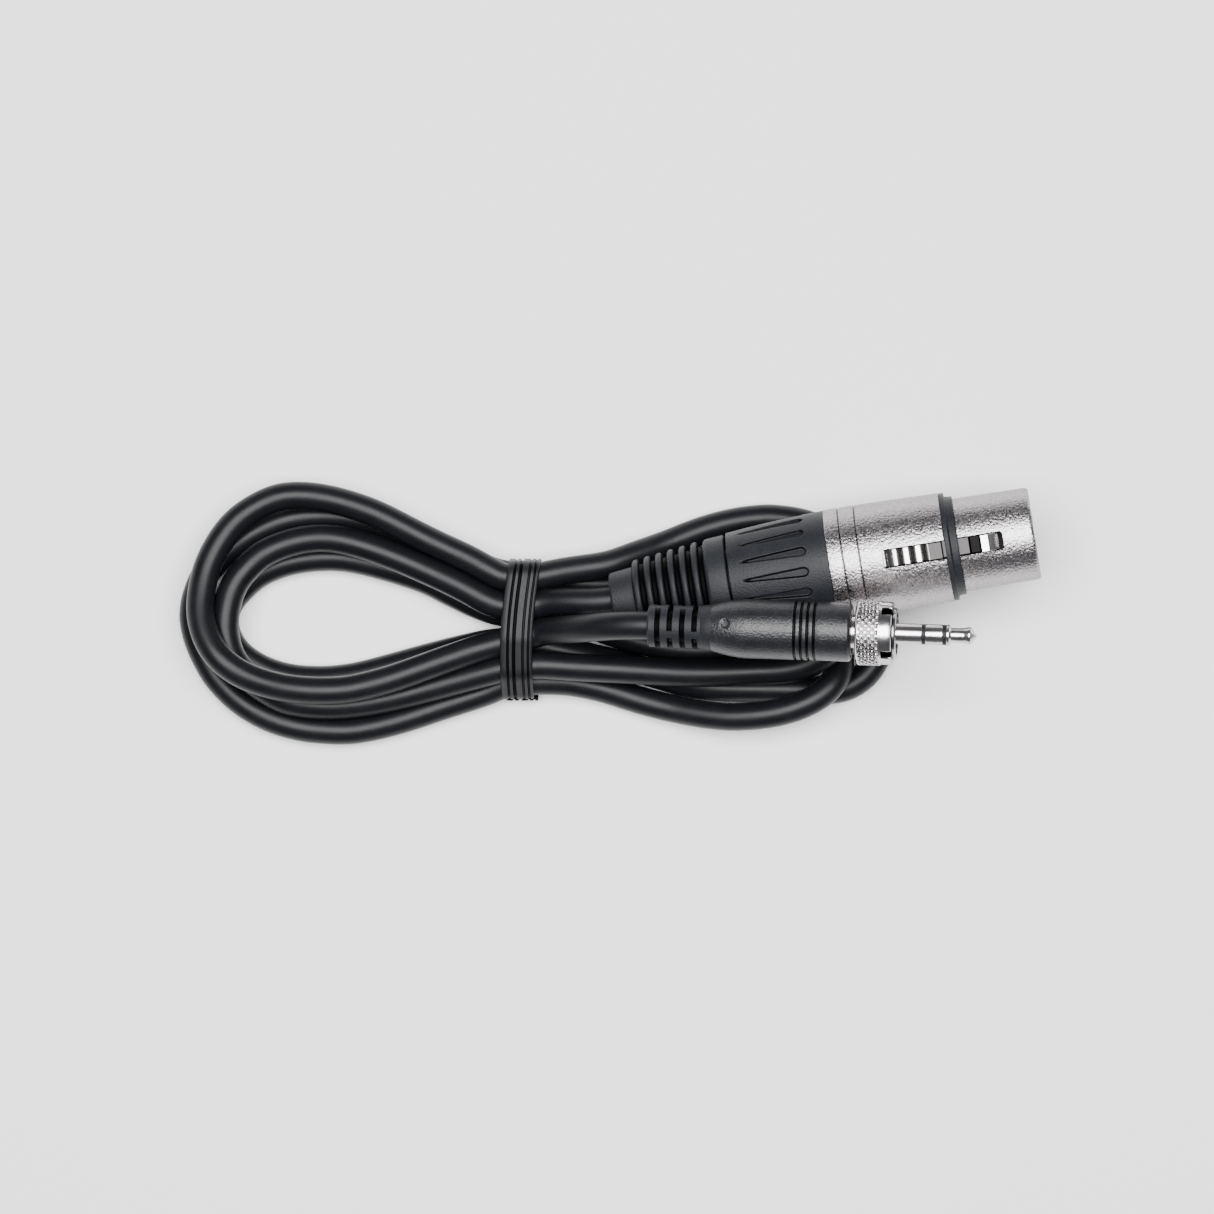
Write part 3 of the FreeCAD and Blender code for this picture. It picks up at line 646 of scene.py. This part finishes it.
def knurl(x, r, angles):
    """Crossed slanting grooves round the nut, and four slots in its rim."""
    if r > 5.35 and 35.75 < x < 39.1:
        turn = angles * KNURLS / (2 * math.pi)
        slant = (x - 35.2) / 1.2
        waves = [np.abs((turn + sign * slant) % 1 - 0.5) * 2 for sign in (-1, 1)]
        groove = np.maximum(smoothstep((waves[0] - 0.5) / 0.4), smoothstep((waves[1] - 0.5) / 0.4))
        return r - 0.26 * groove * min(1, (x - 35.75) / 0.15, (39.1 - x) / 0.15)
    if r > 4.9 and 39.6 < x < 41.36:
        inside = smoothstep((0.85 - off_centre(angles, 4, math.pi / 4) * r) / 0.12)
        return r - (r - 4.5) * inside
    return np.full(len(angles), float(r))


def plug_lock_nut():
    # Painted shade in the knurl's grooves and the rim's slots
    def groove_shade(x, r, z):
        return between(x, 35.7, 39.15) * (5.46 - r) / 0.4 + between(x, 39.6, 41.38) * (r < 5.05)

    outline = [(35.2, 2.75), (35.2, 5.1), (35.6, 5.5), (39.2, 5.5), (39.5, 5.3), (39.59, 5.3), (39.62, 5.3),
               (41.2, 5.3), (41.3, 5.2), (41.36, 4.3), (41.9, 4.25), (42.0, 4.1), (42.0, 3.6), (37.0, 3.6),
               (37.0, 2.75)]
    turned("nut_knurled", finer(outline, 35.6, 39.2, 0.09), "bright_nickel", PLUG, steps=KNURLS * 18,
           relief=knurl, body="lock_nut", stands_for=["plug_lock_nut"], edge_angle=75, recess=groove_shade)


def plug_shaft():
    sleeve = [(27.0, 1.25), (27.0, 3.85), (34.4, 3.85), (34.4, 2.7), (37.2, 2.7), (37.2, 3.3), (38.0, 3.3),
              (38.2, 1.75), (46.2, 1.75), (46.2, 1.25)]
    turned("shaft_sleeve", rounded(sleeve, 0.08), "bright_nickel", PLUG, stands_for=["plug_sleeve"])
    ring = [(24.6, 0.7), (24.6, 0.95), (46.85, 0.95), (46.85, 1.75), (49.7, 1.75), (49.7, 0.7)]
    turned("shaft_ring", rounded(ring, 0.08), "bright_nickel", PLUG, stands_for=["plug_ring_contact"])
    tip = [(22.0, 0), (22.0, 0.45), (50.35, 0.45), (50.35, 1.75), (50.8, 1.75), (51.1, 1.2), (53.3, 1.25),
           (54.1, 1.5), (54.35, 1.45), (55.3, 0.3), (55.4, 0)]
    turned("shaft_tip", rounded(tip, 0.1), "bright_nickel", PLUG, stands_for=["plug_tip_contact"])
    for name, start, end, inner in (("rear", 46.2, 46.85, 1.0), ("front", 49.7, 50.35, 0.5)):
        band = [(start, inner), (start, 1.71), (end, 1.71), (end, inner)]
        turned("band_" + name, band, "black_plastic", PLUG, stands_for=["plug_insulator_" + name])


# ---------------------------------------------------------------------------
# The tie: a ribbed strap pulled round the eight strands
# ---------------------------------------------------------------------------
def hull(points):
    """The convex outline of flat points, anticlockwise."""
    points = sorted(map(tuple, points))
    sides = []
    for run in (points, points[::-1]):
        line = []
        for p in run:
            while len(line) > 1 and ((line[-1][0] - line[-2][0]) * (p[1] - line[-2][1])
                                     - (line[-1][1] - line[-2][1]) * (p[0] - line[-2][0])) <= 0:
                line.pop()
            line.append(p)
        sides.append(line[:-1])
    return np.array(sides[0] + sides[1])


def strap_loop(grow, count):
    """Evenly spaced points of the loop round the strands, and the way out at each."""
    ring = [(math.cos(t), math.sin(t)) for t in np.linspace(0, 2 * math.pi, 48, endpoint=False)]
    reach = CABLE_R + grow
    around = [(y + reach * a, z + reach * b) for pair in SLOTS.values()
              for y, z in [(np.array(pair[0]) + np.array(pair[1])) / 2] for a, b in ring]
    line = hull(around)
    line = np.vstack([line, line[:1]])
    far = np.r_[0, np.cumsum(np.linalg.norm(np.diff(line, axis=0), axis=1))]
    at = np.linspace(0, far[-1], count, endpoint=False)
    points = np.stack([np.interp(at, far, line[:, k]) for k in (0, 1)], axis=1)
    for _ in range(4):
        points = (np.roll(points, 1, axis=0) + 2 * points + np.roll(points, -1, axis=0)) / 4
    along = np.roll(points, -1, axis=0) - np.roll(points, 1, axis=0)
    outward = np.stack([along[:, 1], -along[:, 0]], axis=1)
    return points, outward / np.linalg.norm(outward, axis=1)[:, None]


# The strap's section, along the hank and out from it: uneven ribs with grooves between
STRAP = [(-2.75, 0.0), (-2.75, 0.34), (-2.6, 0.5), (-1.75, 0.52), (-1.5, 0.22), (-1.35, 0.24), (-1.2, 0.48),
         (-0.75, 0.5), (-0.55, 0.14), (-0.3, 0.14), (-0.1, 0.5), (0.85, 0.52), (1.0, 0.26), (1.2, 0.26),
         (1.35, 0.52), (1.8, 0.5), (1.95, 0.24), (2.1, 0.26), (2.25, 0.5), (2.6, 0.46), (2.75, 0.32),
         (2.75, 0.0)]


def bow(y):
    """The strap leans: its middle sits further from the connectors than its ends do."""
    return TIE_X + 0.55 - 1.15 * math.cos((y + 5.0) / 15.0 * math.pi / 2) + 0.035 * y


def strap_turn(name, grow, shift, first, last, **options):
    """One turn of the strap, or part of one, from first to last as shares of the loop."""
    count = 240
    points, outward = strap_loop(grow, count)
    chosen = [k % count for k in range(int(first * count), int(last * count) + 1)]
    closed = last - first >= 1
    chosen = chosen[:-1] if closed else chosen
    verts = []
    for k in chosen:
        (y, z), (ny, nz) = points[k], outward[k]
        verts += [(bow(y) + shift + x, y + ny * up, max(z + nz * up, 0)) for x, up in STRAP]
    wide, faces = len(STRAP), []
    for i in range(len(chosen) if closed else len(chosen) - 1):
        a, b = i * wide, ((i + 1) % len(chosen)) * wide
        faces += [(a + k, a + (k + 1) % wide, b + (k + 1) % wide, b + k) for k in range(wide)]
    if not closed:
        faces += [tuple(range(wide)), tuple(range(len(verts) - wide, len(verts)))[::-1]]
    ups = np.tile([up for _, up in STRAP], len(chosen))
    # Painted shade down in the strap's grooves, between its ribs
    return add_piece(name, verts, faces, "tie_plastic", edge_angle=50,
                     recess=lambda x, r, z: (ups > 0.05) * (0.42 - ups) / 0.2, **options)


def cable_tie():
    """One full turn, and the strap's end lapped over it for a third of a turn."""
    strap_turn("tie_strap", 0.05, 0.0, 0, 1, stands_for=["cable_tie"])
    strap_turn("tie_strap_end", 0.56, 0.75, 0.02, 0.34)


# ---------------------------------------------------------------------------
# Everything in place
# ---------------------------------------------------------------------------
for part in frame["record"]["subparts"]:
    node = frame["nodes"][part["node"]]
    node.data.materials.clear()
    node.data.materials.append(MATERIALS[part["material_slot"]])

cable, route = make_cable()
xlr_boot()
xlr_bushing()
xlr_shell()
xlr_ring()
xlr_latch()
plug_strain_relief()
plug_barrel()
plug_lock_nut()
plug_shaft()
cable_tie()
for name in ("xlr_insert", "xlr_contact_1", "xlr_contact_2", "xlr_contact_3"):
    soften(frame["nodes"][name], 0.12)


# ---------------------------------------------------------------------------
# The floor, the light and the camera
# ---------------------------------------------------------------------------
def floor():
    half, height = 3, -0.0001
    corners = [(-half, -half, height), (half, -half, height), (half, half, height), (-half, half, height)]
    mesh = bpy.data.meshes.new("table")
    mesh.from_pydata(corners, [], [(0, 1, 2, 3)])
    made = bpy.data.objects.new("table", mesh)
    bpy.context.scene.collection.objects.link(made)
    mesh.materials.append(material("table", (0.93, 0.93, 0.93), (0.90, 0.90, 0.90), (0.6, 0.75), patch=8,
                                   grain=(900, 0.05, 0.02)))


def softbox():
    """One large lamp overhead, a little behind the hank, turned to its middle."""
    place = Vector((0.0, 0.10, 0.95))
    light = bpy.data.lights.new("key", "AREA")
    light.shape = "RECTANGLE"
    light.size, light.size_y = 1.0, 0.62
    light.energy = 30.0
    made = bpy.data.objects.new("key", light)
    made.location = place
    made.rotation_euler = (-place).to_track_quat("-Z", "Y").to_euler()
    bpy.context.scene.collection.objects.link(made)


def surroundings():
    """A dim grey room, lighter near the floor."""
    world = bpy.data.worlds.new("studio")
    bpy.context.scene.world = world
    world.use_nodes = True
    nodes, links = world.node_tree.nodes, world.node_tree.links
    split = nodes.new("ShaderNodeSeparateXYZ")
    links.new(nodes.new("ShaderNodeTexCoord").outputs["Generated"], split.inputs[0])
    shade = nodes.new("ShaderNodeValToRGB")
    shade.color_ramp.elements[0].position = 0.0
    shade.color_ramp.elements[0].color = (0.30, 0.30, 0.31, 1)
    shade.color_ramp.elements[1].position = 0.5
    shade.color_ramp.elements[1].color = (0.09, 0.09, 0.10, 1)
    links.new(split.outputs["Z"], shade.inputs["Fac"])
    links.new(shade.outputs["Color"], nodes["Background"].inputs["Color"])
    nodes["Background"].inputs["Strength"].default_value = 1.0


def camera():
    """Straight above, looking down, with the hank lying across the frame."""
    data = bpy.data.cameras.new("camera")
    data.sensor_width = 36
    data.lens = 156.0
    data.clip_start = 0.01
    data.clip_end = 10
    made = bpy.data.objects.new("camera", data)
    made.location = (-0.00026, 0.00094, 0.91)
    bpy.context.scene.collection.objects.link(made)
    bpy.context.scene.camera = made


floor()
surroundings()
softbox()
camera()
